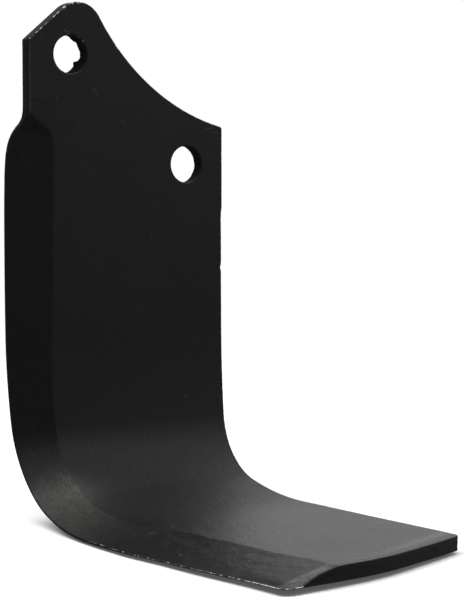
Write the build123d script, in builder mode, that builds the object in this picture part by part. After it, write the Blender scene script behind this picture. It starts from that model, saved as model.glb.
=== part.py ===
from build123d import *
import math
import os

# Rotary tiller blade, one pressed and forged piece of spring steel plate.
#
# Frame: millimetres, +Z up. The origin is the centre of the upper bolt hole on
# the clamping (back) face of the leg. The leg stands in the XZ plane with its
# back face at y = 0 and its front face at y = -thickness. The foot runs towards
# -Y with its underside flat at the lowest z. The bevelled cutting side is -X.
#
# Along the strip, w is the distance below the upper hole, measured on the
# middle of the thickness down the leg, round the bend and out along the foot.

# ---- driving dimensions -----------------------------------------------------
thickness = 5.0              # plate thickness
strip_width = 80.0           # tang side to trailing side
tang_side = -16.25           # x of the tang's straight side
hole_d = 13.0                # both bolt holes
hole_dx, hole_dz = 48.05, -37.05   # lower hole from the upper one

tip_r = 9.6                  # rounded tip of the tang
cut_z0, cut_slope = 4.45, 0.831    # sloping cut: height at the tang side, rise per mm
relief_r = 81.3              # concave arc from the tip to the shoulder
relief_cx, relief_cz = 81.13, 55.84   # its centre
corner_r = 1.2               # small plan corners

leg_len = 96.8               # upper hole to the start of the bend
bend_r = (350.0, 27.0, 110.0)      # three tangent bends, on the middle of the plate
bend_deg = (5.1, 69.0, 15.9)       # their angles, 90 degrees in all
foot_len = 92.6              # straight foot, bend to the end at the cutting side

land = 1.0                   # flat left at the cutting edge
edge_break = 0.5             # worn roundness of the sheared edges

# cutting edge: (w, x of the edge, depth of the bevel there below the front face)
edge_table = [
    (12.0, -16.25, -1.00), (17.5, -16.27, -0.02), (20.0, -16.33, 0.75),
    (22.0, -16.70, 1.75), (23.4, -17.50, 2.85), (24.9, -18.80, 3.60),
    (26.6, -20.10, 3.92), (29.3, -21.50, 4.00), (33.0, -22.50, 4.00),
    (38.0, -23.05, 4.00), (46.0, -23.32, 4.00), (58.0, -23.46, 4.00),
    (74.0, -23.46, 4.00), (88.0, -23.38, 4.00), (100.0, -23.20, 4.00),
    (110.0, -22.85, 4.00), (119.0, -22.40, 4.00), (127.0, -21.85, 4.00),
    (134.0, -21.10, 4.00), (141.0, -20.55, 4.00), (148.0, -20.35, 4.00),
    (155.0, -20.60, 4.00), (163.0, -21.45, 4.00), (172.0, -22.50, 4.00),
    (182.0, -23.25, 4.00), (192.0, -23.75, 4.00), (202.0, -24.05, 4.00),
    (211.0, -23.85, 4.00), (219.0, -23.15, 4.00), (227.0, -22.20, 4.00),
    (236.0, -21.50, 4.00), (246.0, -20.75, 4.00), (256.0, -19.55, 4.00),
    (266.0, -18.40, 4.00), (276.0, -17.60, 4.00), (288.0, -17.00, 4.00),
]
# line where the bevel meets the front face: (w, x)
bevel_table = [
    (12.0, -15.20), (17.5, -16.20), (20.0, -15.60), (22.0, -13.70), (23.4, -12.00),
    (24.9, -10.20), (26.6, -8.75), (29.3, -7.45), (33.0, -6.95), (38.0, -6.98),
    (46.0, -7.10), (58.0, -7.38), (74.0, -7.62), (88.0, -7.88), (100.0, -8.12),
    (110.0, -8.25), (119.0, -8.00), (127.0, -7.50), (134.0, -7.05), (141.0, -6.65),
    (148.0, -6.05), (155.0, -6.00), (163.0, -7.00), (172.0, -7.70), (182.0, -7.80),
    (192.0, -7.75), (202.0, -6.90), (211.0, -3.80), (219.0, -2.55), (227.0, -2.30),
    (236.0, -1.30), (246.0, -0.80), (256.0, -0.40), (266.0, 1.20), (276.0, 2.10),
    (288.0, 3.00),
]
# end of the foot: (x, how far short of foot_len the end lies there)
end_table = [(-34.0, 0.0), (-16.0, 0.0), (-6.0, 0.15), (4.0, 0.55), (14.0, 1.35),
             (23.0, 2.75), (31.0, 4.70), (41.0, 7.70), (53.0, 11.40), (68.0, 16.60)]
near_corner_r = 3.2          # rounded corner at the cutting edge
far_corner_r = 2.0           # rounded corner at the trailing side

# ---- derived ----------------------------------------------------------------
trailing_side = tang_side + strip_width
half = thickness / 2
bend_rad = [math.radians(a) for a in bend_deg]
w_arc = [leg_len]
for r, a in zip(bend_r, bend_rad):
    w_arc.append(w_arc[-1] + r * a)
w_foot = w_arc[-1]

# middle line of the plate, seen from the side: start point, centre and start
# angle of each bend
mid = [(-half, -leg_len)]
centres = []
turn = [0.0]
for r, a in zip(bend_r, bend_rad):
    y0, z0 = mid[-1]
    t0 = turn[-1]
    cy, cz = y0 - r * math.cos(t0), z0 + r * math.sin(t0)
    centres.append((cy, cz))
    mid.append((cy + r * math.cos(t0 + a), cz - r * math.sin(t0 + a)))
    turn.append(t0 + a)
y_foot, z_foot = mid[-1]


def at(w):
    """Point (y, z) on the middle line at w, and how far the strip has turned."""
    if w <= w_arc[0]:
        return -half, -w, 0.0
    for i in range(3):
        if w <= w_arc[i + 1]:
            a = turn[i] + (w - w_arc[i]) / bend_r[i]
            cy, cz = centres[i]
            return cy + bend_r[i] * math.cos(a), cz - bend_r[i] * math.sin(a), a
    return y_foot - (w - w_foot), z_foot, math.pi / 2


def station(w):
    """Plane square to the strip at w: x across, y towards the front face."""
    y, z, a = at(w)
    return Plane(origin=(0, y, z), x_dir=(1, 0, 0), z_dir=(0, -math.sin(a), -math.cos(a)))


# tip of the tang: a circle touching both the sloping cut and the concave arc
norm = math.hypot(1.0, cut_slope)


def tip_gap(cx):
    # height of a centre that keeps tip_r below the sloping cut
    cz = cut_z0 + cut_slope * (cx - tang_side) - tip_r * norm
    return cz, math.hypot(cx - relief_cx, cz - relief_cz) - (relief_r + tip_r)


lo, hi = tang_side, tang_side + 30.0
for _ in range(60):
    m = (lo + hi) / 2
    if tip_gap(m)[1] > 0:
        lo = m
    else:
        hi = m
tip_cx = (lo + hi) / 2
tip_cz = tip_gap(tip_cx)[0]
cut_touch = (tip_cx - tip_r * cut_slope / norm, tip_cz + tip_r / norm)
k = tip_r / (relief_r + tip_r)
relief_touch = (tip_cx + (relief_cx - tip_cx) * k, tip_cz + (relief_cz - tip_cz) * k)
ang_cut = math.degrees(math.atan2(cut_touch[1] - tip_cz, cut_touch[0] - tip_cx))
ang_rel = math.degrees(math.atan2(relief_touch[1] - tip_cz, relief_touch[0] - tip_cx))
shoulder_z = relief_cz - math.sqrt(relief_r ** 2 - (trailing_side - relief_cx) ** 2)
rel_a0 = math.degrees(math.atan2(relief_touch[1] - relief_cz, relief_touch[0] - relief_cx)) % 360
rel_a1 = math.degrees(math.atan2(shoulder_z - relief_cz, trailing_side - relief_cx)) % 360

# ---- the blade --------------------------------------------------------------
with BuildPart() as blade:
    # the bent plate at full thickness: its side view, drawn across the strip
    with BuildSketch(Plane.YZ.offset(tang_side - 12.0)):
        with BuildLine():
            top = 24.0
            far = y_foot - foot_len - 4.0
            Line((-thickness, top), (0, top))
            Line((0, top), (0, -leg_len))
            for i in range(3):
                CenterArc(centres[i], bend_r[i] + half, -math.degrees(turn[i]), -bend_deg[i])
            Line((y_foot, z_foot - half), (far, z_foot - half))
            Line((far, z_foot - half), (far, z_foot + half))
            Line((far, z_foot + half), (y_foot, z_foot + half))
            for i in (2, 1, 0):
                CenterArc(centres[i], bend_r[i] - half, -math.degrees(turn[i + 1]), bend_deg[i])
            Line((-thickness, -leg_len), (-thickness, top))
        make_face()
    extrude(amount=strip_width + 12.0)

    # the tang and the concave relief, cut square through the plate
    with BuildSketch(Plane.XZ.offset(-5.0)) as tang_waste:
        with Locations((tang_side + 30.0, 5.0)):
            Rectangle(120.0, 80.0)
        with BuildLine():
            Line((tang_side, -17.0), (tang_side, cut_z0))
            Line((tang_side, cut_z0), cut_touch)
            CenterArc((tip_cx, tip_cz), tip_r, ang_cut, ang_rel - ang_cut)
            CenterArc((relief_cx, relief_cz), relief_r, rel_a0, rel_a1 - rel_a0)
            Line((trailing_side, shoulder_z), (trailing_side, -60.0))
            Line((trailing_side, -60.0), (tang_side - 20.0, -60.0))
            Line((tang_side - 20.0, -60.0), (tang_side - 20.0, -17.0))
            Line((tang_side - 20.0, -17.0), (tang_side, -17.0))
        make_face(mode=Mode.SUBTRACT)
    extrude(amount=20.0, mode=Mode.SUBTRACT)

    # the forged bevel and the flared cutting edge, swept along the whole strip
    for (w, xe, depth), (_, xb) in zip(edge_table, bevel_table):
        run, rise = xb - xe, depth
        if depth <= 0.0:
            rise = 0.6
        size = math.hypot(run, rise)
        ux, uy = run / size, rise / size
        reach = size + 3.5 if depth > 0.0 else 3.5
        px, py = xe + ux * reach, half - depth + uy * reach
        if depth <= 0.0:
            py = half - depth + 1.5
        with BuildSketch(station(w)):
            with BuildLine():
                Polyline((xe, half - depth), (px, py), (px, half + 7.0), (-46.0, half + 7.0),
                         (-46.0, -half - 5.0), (xe, -half - 5.0), close=True)
            make_face()
    loft(mode=Mode.SUBTRACT)

    # the sheared end of the foot, with its two rounded corners
    with BuildSketch(Plane.XY.offset(z_foot - 15.0)):
        with BuildLine():
            end_pts = [(x, y_foot - foot_len + s) for x, s in end_table]
            Spline(*end_pts)
            Polyline(end_pts[-1], (74.0, end_pts[-1][1]), (74.0, far - 10.0),
                     (-40.0, far - 10.0), (-40.0, end_pts[0][1]), end_pts[0])
        make_face()
    extrude(amount=30.0, mode=Mode.SUBTRACT)

    # bolt holes
    with BuildSketch(Plane.XZ.offset(-5.0)):
        with Locations((0, 0), (hole_dx, hole_dz)):
            Circle(hole_d / 2)
    extrude(amount=20.0, mode=Mode.SUBTRACT)

    # plan corners, through the thickness
    def upright(e, x, z):
        return abs(e.center().X - x) < 0.05 and abs(e.center().Z - z) < 0.05 \
            and abs(e.center().Y + half) < 0.3 and e.length < 5.5

    fillet(blade.edges().filter_by(lambda e: upright(e, tang_side, cut_z0)), radius=corner_r)
    fillet(blade.edges().filter_by(lambda e: upright(e, trailing_side, shoulder_z)), radius=corner_r)
    fillet(blade.edges().filter_by(
        lambda e: abs(e.center().X - trailing_side) < 0.05 and abs(e.center().Z - z_foot) < 0.3
        and e.length < 5.5), radius=far_corner_r)

    # worn roundness: round the trailing side, the tang's outline, the end of the
    # foot and the front rims of the holes
    def outline(e):
        pts = [e @ 0, e @ 0.5, e @ 1]
        front = all(abs(p.Y + thickness) < 1e-3 and p.Z > -90 for p in pts)
        back = all(abs(p.Y) < 1e-3 and p.Z > -90 for p in pts)
        trailing = all(abs(p.X - trailing_side) < 1e-3 for p in pts)
        on_left = all(p.X < tang_side + 0.5 for p in pts)
        hole = e.geom_type == GeomType.CIRCLE and abs(e.radius - hole_d / 2) < 1e-3
        bevel = all(p.X < tang_side + 12.0 and p.Z < -16.0 for p in pts)
        return ((front or back or trailing) and not hole and not bevel
                and e.length > (3.0 if on_left else 0.6))

    fillet(blade.edges().filter_by(outline), radius=edge_break)
    fillet(blade.edges().filter_by(
        lambda e: e.geom_type == GeomType.CIRCLE and abs(e.radius - hole_d / 2) < 1e-3
        and abs(e.center().Y + thickness) < 1e-3), radius=0.4)

blade.part.label = "blade"

os.makedirs("parts", exist_ok=True)
export_step(blade.part, "parts/blade.step")
bb = blade.part.bounding_box()
print("solids", len(blade.part.solids()), "volume", round(blade.part.volume, 1))
print("box", [round(v, 2) for v in (bb.min.X, bb.min.Y, bb.min.Z, bb.max.X, bb.max.Y, bb.max.Z)])
print("centre", blade.part.center(CenterOf.MASS), "bend ends at y", round(y_foot, 2))
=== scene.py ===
import math
import bpy
import numpy as np
from mathutils import Matrix, Vector
from mathutils.geometry import delaunay_2d_cdt


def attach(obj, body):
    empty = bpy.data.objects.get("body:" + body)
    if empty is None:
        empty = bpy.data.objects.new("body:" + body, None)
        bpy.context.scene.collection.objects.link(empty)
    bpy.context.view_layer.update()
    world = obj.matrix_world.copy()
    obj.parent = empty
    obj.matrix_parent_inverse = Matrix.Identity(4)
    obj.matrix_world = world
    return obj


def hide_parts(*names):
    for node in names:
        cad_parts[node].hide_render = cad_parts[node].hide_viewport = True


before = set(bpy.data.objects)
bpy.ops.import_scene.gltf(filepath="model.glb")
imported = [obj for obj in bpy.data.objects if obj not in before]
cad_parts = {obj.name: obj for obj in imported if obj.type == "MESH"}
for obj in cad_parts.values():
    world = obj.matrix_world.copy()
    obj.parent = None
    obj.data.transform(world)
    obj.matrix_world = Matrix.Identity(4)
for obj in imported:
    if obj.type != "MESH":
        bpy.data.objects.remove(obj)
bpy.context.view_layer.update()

scene = bpy.context.scene

# =============================================================================
# Shape numbers of the blade, in millimetres. x runs across the strip, w along it
# from the upper bolt hole (down the leg, round the bend, out along the foot) and
# t is the depth below the front face.
# =============================================================================
THICK, WIDTH, TANG_X = 5.0, 80.0, -16.25
HALF, TRAIL_X = THICK / 2, TANG_X + WIDTH
HOLE_R = 6.5
REL_CHIP_X = 18.8                                   # the one bare spot on the curved shoulder
HOLES = [(0.0, 0.0), (48.05, 37.05)]                 # (x, w)
TIP_R, CUT_Z0, CUT_SLOPE = 9.6, 4.45, 0.831
REL_R, REL_X, REL_Z = 81.3, 81.13, 55.84
LEG, BEND_R, BEND_DEG, FOOT = 96.8, (350.0, 27.0, 110.0), (5.1, 69.0, 15.9), 92.6

EDGE = np.array([
    (12.0, -16.25, -1.00), (17.5, -16.27, -0.02), (20.0, -16.33, 0.72),
    (22.0, -16.70, 2.35), (23.4, -17.50, 3.75), (24.9, -18.80, 4.00),
    (26.6, -20.10, 4.00), (29.3, -21.50, 4.00), (33.0, -22.50, 4.00),
    (38.0, -23.05, 4.00), (46.0, -23.32, 4.00), (58.0, -23.46, 4.00),
    (74.0, -23.46, 4.00), (88.0, -23.38, 4.00), (100.0, -23.20, 4.00),
    (110.0, -22.85, 4.00), (119.0, -22.40, 4.00), (127.0, -21.85, 4.00),
    (134.0, -21.10, 4.00), (141.0, -20.55, 4.00), (148.0, -20.35, 4.00),
    (155.0, -20.60, 4.00), (163.0, -21.45, 4.00), (172.0, -22.50, 4.00),
    (182.0, -23.25, 4.00), (192.0, -23.75, 4.00), (202.0, -24.05, 4.00),
    (211.0, -23.85, 4.00), (219.0, -23.15, 4.00), (227.0, -22.20, 4.00),
    (236.0, -21.50, 4.00), (246.0, -20.75, 4.00), (256.0, -19.55, 4.00),
    (266.0, -18.40, 4.00), (276.0, -17.60, 4.00), (288.0, -17.00, 4.00)])
BEVEL = np.array([
    (12.0, -15.20), (17.5, -16.20), (20.0, -15.60), (22.0, -13.70), (23.4, -12.00),
    (24.9, -10.20), (26.6, -8.75), (29.3, -7.45), (33.0, -6.95), (38.0, -6.98),
    (46.0, -7.10), (58.0, -7.38), (74.0, -7.62), (88.0, -7.88), (100.0, -8.12),
    (110.0, -8.25), (119.0, -8.00), (127.0, -7.50), (134.0, -7.05), (141.0, -6.65),
    (148.0, -6.05), (155.0, -6.00), (163.0, -7.00), (172.0, -7.70), (182.0, -7.80),
    (192.0, -7.75), (202.0, -6.90), (211.0, -3.80), (219.0, -2.55), (227.0, -2.30),
    (236.0, -1.30), (246.0, -0.80), (256.0, -0.40), (266.0, 1.20), (276.0, 2.10),
    (288.0, 3.00)])
END = np.array([(-34.0, 0.0), (-16.0, 0.0), (-6.0, 0.15), (4.0, 0.55), (14.0, 1.35),
                (23.0, 2.75), (31.0, 4.70), (41.0, 7.70), (53.0, 11.40), (68.0, 16.60)])

# ---- the middle line of the plate -------------------------------------------
TURN, W_ARC, MID, CEN = [0.0], [LEG], [(-HALF, -LEG)], []
for r, deg in zip(BEND_R, BEND_DEG):
    a = math.radians(deg)
    y0, z0 = MID[-1]
    cy, cz = y0 - r * math.cos(TURN[-1]), z0 + r * math.sin(TURN[-1])
    CEN.append((cy, cz))
    TURN.append(TURN[-1] + a)
    MID.append((cy + r * math.cos(TURN[-1]), cz - r * math.sin(TURN[-1])))
    W_ARC.append(W_ARC[-1] + r * a)
W_FOOT = W_ARC[-1]
Y_FOOT, Z_FOOT = MID[-1]
W_END = W_FOOT + FOOT
FLOOR_Z = (Z_FOOT - HALF) / 1000.0


def to_space(x, w, t):
    """Strip coordinates to the row frame, metres."""
    x, w, t = (np.asarray(v, float) for v in (x, w, t))
    y = np.full_like(w, -HALF)
    z = -w.copy()
    a = np.zeros_like(w)
    for i in range(3):
        m = (w > W_ARC[i]) & (w <= W_ARC[i + 1])
        ang = TURN[i] + (w - W_ARC[i]) / BEND_R[i]
        y = np.where(m, CEN[i][0] + BEND_R[i] * np.cos(ang), y)
        z = np.where(m, CEN[i][1] - BEND_R[i] * np.sin(ang), z)
        a = np.where(m, ang, a)
    m = w > W_FOOT
    y = np.where(m, Y_FOOT - (w - W_FOOT), y)
    z = np.where(m, Z_FOOT, z)
    a = np.where(m, math.pi / 2, a)
    h = HALF - t
    return np.stack([x, y - np.cos(a) * h, z + np.sin(a) * h], -1) / 1000.0


# ---- smooth curves through the tables ---------------------------------------
def curve(px, py, q):
    """Monotone-ish cubic (Hermite with three-point slopes) through a table."""
    px, py, q = np.asarray(px, float), np.asarray(py, float), np.asarray(q, float)
    d = np.diff(py) / np.diff(px)
    h = np.diff(px)
    m = np.empty_like(py)
    m[1:-1] = (d[:-1] * h[1:] + d[1:] * h[:-1]) / (h[:-1] + h[1:])
    flat = d[:-1] * d[1:] <= 0
    m[1:-1][flat] *= 0.35
    m[0], m[-1] = d[0], d[-1]
    i = np.clip(np.searchsorted(px, q) - 1, 0, len(px) - 2)
    s = np.clip((q - px[i]) / h[i], 0, 1)
    return ((2 * s ** 3 - 3 * s ** 2 + 1) * py[i] + (s ** 3 - 2 * s ** 2 + s) * h[i] * m[i]
            + (-2 * s ** 3 + 3 * s ** 2) * py[i + 1] + (s ** 3 - s ** 2) * h[i] * m[i + 1])


def edge_x(w):
    return np.maximum(curve(EDGE[:, 0], EDGE[:, 1], w) - 0.12 * step(18.0, 24.0, w), -24.05)


def edge_depth(w):
    return np.clip(curve(EDGE[:, 0], EDGE[:, 2], w), 0.0, 4.0)


def bevel_x(w):
    return curve(BEVEL[:, 0], BEVEL[:, 1], w)


def end_w(x):
    return W_END - curve(END[:, 0], END[:, 1], x)


def step(a, b, v):
    s = np.clip((np.asarray(v, float) - a) / (b - a), 0, 1)
    return s * s * (3 - 2 * s)


class Waves:
    """A fixed, repeatable sum of plane waves, about -1 to 1."""

    def __init__(self, seed, lo, hi, n=26, stretch=(1.0, 1.0)):
        g = np.random.RandomState(seed)
        ang = g.uniform(0, 2 * math.pi, n)
        length = np.exp(g.uniform(math.log(lo), math.log(hi), n))
        self.kx = 2 * math.pi * np.cos(ang) / length / stretch[0]
        self.kw = 2 * math.pi * np.sin(ang) / length / stretch[1]
        self.ph = g.uniform(0, 2 * math.pi, n)
        self.am = math.sqrt(2.0 / n) * 0.6

    def __call__(self, x, w):
        x, w = np.asarray(x, float), np.asarray(w, float)
        s = np.zeros(np.broadcast(x, w).shape)
        for kx, kw, ph in zip(self.kx, self.kw, self.ph):
            s += np.sin(kx * x + kw * w + ph)
        return s * self.am


sway = Waves(11, 28.0, 75.0)                 # slow unevenness of the rolled plate
dents = Waves(12, 7.0, 20.0)                 # shallow hammered unevenness
forge = Waves(13, 3.0, 9.0, stretch=(1.0, 1.8))   # forging marks on the bevel
beads = Waves(14, 0.9, 2.4, n=30)            # beads of paint beside the bevel line
nicks = Waves(15, 1.0, 5.0, n=30)
fine = Waves(16, 0.6, 1.8, n=30)
mottle = Waves(17, 2.6, 8.0, n=34)


def front_depth(x, w):
    """Depth of the front surface below the flat face."""
    x, w = np.asarray(x, float), np.asarray(w, float)
    low = np.clip(w, 36.0, None)
    xe, xb = edge_x(low), bevel_x(low)
    raw = 4.0 * (xb - x) / np.maximum(xb - xe, 0.3)
    # the bevel runs out at its top against a short curved wall
    lip = np.interp(x, [-24.0, -16.0, -12.8, -10.6, -8.9, -7.8, -7.0, -6.4, -5.9],
                    [22.2, 22.5, 23.3, 24.5, 26.0, 27.6, 29.6, 32.5, 37.0])
    wall = 0.62 * (w - lip)
    edge_run = np.interp(w, [12.0, 17.0, 18.6, 19.9, 20.9, 21.7, 22.1, 22.5, 23.4],
                         [-2.0, -0.25, 0.30, 0.70, 1.15, 2.05, 2.8, 3.6, 4.3])
    wall = edge_run + (wall - edge_run) * step(-17.6, -14.0, x)
    wall = (wall + np.sqrt(wall * wall + 0.42)) / 2 - 0.10
    both = (raw + wall - np.sqrt((raw - wall) ** 2 + 0.30)) / 2
    raw = np.where(w < 36.0, both + (raw - both) * step(31.0, 36.0, w), raw)
    raw = np.where(w < 16.0, -1.0, raw)
    k = 0.045 + 0.16 * (1 - step(26, 44, w)) + 0.15 * step(126, 150, w) * (1 - step(160, 186, w))
    d = (raw + np.sqrt(raw * raw + k * k)) / 2
    d = np.minimum(d, 4.12)
    on_bevel = step(-0.3, 0.5, raw)
    # plate unevenness, always inward
    lift = 0.030 * (sway(x, w) + 1) + 0.010 * (dents(x, w) + 1)
    lift = lift + on_bevel * (0.030 * (forge(x, w) + 1) + 0.018 * (dents(x * 1.7 + 9, w * 1.3) + 1))
    strip = np.exp(-((x - (xb - 0.9)) / 0.85) ** 2) * step(62, 72, w) * (1 - step(132, 150, w))
    patch = np.exp(-((x + 15.5) / 4.2) ** 2) * (
        np.exp(-((w - 74.0) / 9.0) ** 2) + 0.8 * np.exp(-((w - 101.0) / 8.0) ** 2))
    lift = lift + 0.045 * strip * np.clip(beads(x, w) + 0.25, -0.3, 1.2)
    lift = lift + 0.028 * patch * np.clip(beads(x * 0.8 + 5, w * 0.8), -0.2, 1.0)
    # the upset line left where the foot's bevel was pressed a second time
    kink = np.exp(-((w - 205.0 - 0.35 * (x + 16)) / 2.6) ** 2) * on_bevel
    lift = lift + 0.10 * kink
    # the end of the foot was cropped from above, and rolls over
    gap = end_w(x) - w
    reach = 4.0 + 1.6 * step(2.0, 18.0, x) + 2.4 * step(20.0, 58.0, x)
    drop = np.interp(x, [-17.2, -14.0, -12.0, -10.6, -9.3, -6.8, -4.2, -1.0, 3.0, 8.0, 26.0],
                     [0.60, 1.25, 1.65, 1.90, 1.45, 0.85, 0.40, 0.26, 0.20, 0.10, 0.20])
    lift = lift + drop * np.clip(1 - gap / reach, 0, 1.2) ** np.where(x < 0.0, 1.35, 1.8)
    lift = lift + 0.07 * np.clip(1 - gap / 1.1, 0, 1.2) ** 2
    # hammered down along the last stretch of the cutting edge
    lift = lift + 0.42 * step(3.2, 0.2, x - xe) * step(258.0, 270.0, w)
    # fine mottle of the plate on the foot
    lift = lift + 0.024 * (mottle(x, w) + 1) * step(188.0, 206.0, w)
    # the corner at the cutting edge is worn down
    near = np.hypot(x + 16.5, w - W_END)
    lift = lift + 0.12 * np.exp(-(near / 2.5) ** 2)
    # the foot's bevel is a little crowned towards its edge
    part = np.clip((xb - x) / np.maximum(xb - xe, 0.3), 0.0, 1.1)
    lift = lift + 0.34 * part ** 2.4 * step(200.0, 216.0, w)
    return np.minimum(d + np.clip(lift, 0.0, None), 4.60)


# =============================================================================
# The outline: left side up, over the tang, down the trailing side, back along
# the end of the foot. Coordinates here are (x, up) with up = -w.
# =============================================================================
norm = math.hypot(1.0, CUT_SLOPE)


def tip_gap(cx):
    cz = CUT_Z0 + CUT_SLOPE * (cx - TANG_X) - TIP_R * norm
    return cz, math.hypot(cx - REL_X, cz - REL_Z) - (REL_R + TIP_R)


lo, hi = TANG_X, TANG_X + 30.0
for _ in range(60):
    m = (lo + hi) / 2
    if tip_gap(m)[1] > 0:
        lo = m
    else:
        hi = m
tip_x = (lo + hi) / 2
tip_z = tip_gap(tip_x)[0]
cut_touch = (tip_x - TIP_R * CUT_SLOPE / norm, tip_z + TIP_R / norm)
kk = TIP_R / (REL_R + TIP_R)
rel_touch = (tip_x + (REL_X - tip_x) * kk, tip_z + (REL_Z - tip_z) * kk)
shoulder_z = REL_Z - math.sqrt(REL_R ** 2 - (TRAIL_X - REL_X) ** 2)


def soften(pts, back):
    """Round the corner at the joint of two runs: (run_a, run_b) -> one run."""
    a, b = pts
    ca = np.r_[0, np.cumsum(np.hypot(*np.diff(a[::-1], axis=0).T))]
    cb = np.r_[0, np.cumsum(np.hypot(*np.diff(b, axis=0).T))]
    ar = a[::-1]
    pa = np.array([np.interp(back, ca, ar[:, j]) for j in (0, 1)])
    pb = np.array([np.interp(back, cb, b[:, j]) for j in (0, 1)])
    c = (a[-1] + b[0]) / 2
    s = np.linspace(0, 1, 25)[:, None]
    wq = 1.0 / math.sqrt(2.0)
    arc = ((1 - s) ** 2 * pa + 2 * s * (1 - s) * wq * c + s ** 2 * pb) / (
        (1 - s) ** 2 + 2 * s * (1 - s) * wq + s ** 2)
    return np.vstack([a[: len(a) - np.searchsorted(ca, back + 0.02)], arc,
                      b[np.searchsorted(cb, back + 0.02):]])


x_near = float(edge_x(np.array([W_END]))[0])
ws = np.arange(W_END, 17.5, -0.25)
left = np.stack([edge_x(ws), -ws], -1)
zz = np.arange(-17.5, CUT_Z0, 0.25)
tang = np.stack([np.full_like(zz, TANG_X), zz], -1)
tang = np.vstack([tang, [(TANG_X, CUT_Z0)]])
s = np.linspace(0, 1, 120)[:, None]
cut = np.array([TANG_X, CUT_Z0]) * (1 - s) + np.array(cut_touch) * s
a0 = math.atan2(cut_touch[1] - tip_z, cut_touch[0] - tip_x)
a1 = math.atan2(rel_touch[1] - tip_z, rel_touch[0] - tip_x)
aa = np.linspace(a0, a1, 90)[1:]
tip = np.stack([tip_x + TIP_R * np.cos(aa), tip_z + TIP_R * np.sin(aa)], -1)
b0 = math.atan2(rel_touch[1] - REL_Z, rel_touch[0] - REL_X) % (2 * math.pi)
b1 = math.atan2(shoulder_z - REL_Z, TRAIL_X - REL_X) % (2 * math.pi)
bb = np.linspace(b0, b1, 300)[1:]
rel = np.stack([REL_X + REL_R * np.cos(bb), REL_Z + REL_R * np.sin(bb)], -1)
w_far = float(end_w(np.array([TRAIL_X]))[0])
wt = np.linspace(-shoulder_z, w_far, 900)
# the trailing side steps in by half a millimetre a little below the lower hole
# and has one small chip further down
tx = TRAIL_X - 0.26 * step(52.5, 54.5, wt) * (1 - step(70.0, 130.0, wt))
tx = tx - 0.42 * np.exp(-((wt - 74.2) / 0.9) ** 2) - 0.10 * np.exp(-((wt - 58.0) / 3.0) ** 2)
tx = tx + 0.05 * (np.minimum(nicks(wt * 0.4, wt), 0.0))
tx = np.minimum(tx, TRAIL_X)
trail = np.stack([tx, -wt], -1)
xe_ = np.linspace(TRAIL_X, x_near, 340)
endl = np.stack([xe_, -end_w(xe_)], -1)

run = np.vstack([left[:-1], tang])
run = soften((run, cut), 0.62)
run = np.vstack([run, tip, rel])
run = soften((run, trail), 0.85)
run = soften((run, endl), 1.5)
# close the loop at the near corner
mid_i = len(run) // 2
run = np.vstack([run[mid_i:], run[:mid_i]])
brk = int(np.argmin(np.hypot(run[:, 0] - x_near, run[:, 1] + W_END)))
run = soften((run[: brk + 1], run[brk + 1:]), 3.2)

# resample: finer where it turns
seg = np.hypot(*np.diff(np.vstack([run, run[:1]]), axis=0).T)
keep = seg > 1e-5
run = run[keep]
loop = np.vstack([run, run[:1]])
cum = np.r_[0, np.cumsum(np.hypot(*np.diff(loop, axis=0).T))]
total = cum[-1]
q = np.arange(0, total, 0.05)
px = np.interp(q, cum, loop[:, 0])
pz = np.interp(q, cum, loop[:, 1])
ker = np.hanning(9); ker /= ker.sum()


def wrap_smooth(v):
    n = len(ker) // 2
    return np.convolve(np.r_[v[-n:], v, v[:n]], ker, mode="valid")


px, pz = wrap_smooth(px), wrap_smooth(pz)
dx, dz = np.roll(px, -4) - np.roll(px, 4), np.roll(pz, -4) - np.roll(pz, 4)
ang = np.unwrap(np.arctan2(dz, dx))
curv = np.abs(np.roll(ang, -6) - np.roll(ang, 6))
curv = np.minimum(curv, np.abs(2 * math.pi - curv)) / 0.6
want = np.clip(0.16 / np.maximum(curv, 1e-3), 0.16, 0.55)
dens = np.cumsum(0.05 / want)
count = int(round(dens[-1]))
pick = np.interp(np.linspace(0, dens[-1], count, endpoint=False), dens, np.arange(len(q)))
OX = np.interp(pick, np.arange(len(q)), px)
OZ = np.interp(pick, np.arange(len(q)), pz)
tdx = np.interp(pick, np.arange(len(q)), dx)
tdz = np.interp(pick, np.arange(len(q)), dz)
tl = np.hypot(tdx, tdz)
NX, NZ = -tdz / tl, tdx / tl                 # outward
OW, NW = -OZ, -NZ
N = len(OX)

# what each outline point lies on
on_cutting = (OX < -16.0) & (OW > 20.0) & (OW < W_END - 3.5)
on_tang = (OX < -15.9) & (OW <= 20.0) & (OZ < CUT_Z0 - 0.3)
on_cut = (OZ > CUT_Z0 - 0.3) & (OX < cut_touch[0]) & (NZ > 0.2)
on_tip = (OZ > rel_touch[1]) & (OX >= cut_touch[0])
on_rel = (OZ > shoulder_z - 0.6) & (OZ <= rel_touch[1]) & (OX > 5.0) & (OX < TRAIL_X - 0.1)
on_trail = (OX > TRAIL_X - 1.2) & (OW > 18.5) & (OW < w_far - 1.0)
on_end = (OW > w_far - 1.0) & ~on_trail & ~on_cutting

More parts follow.
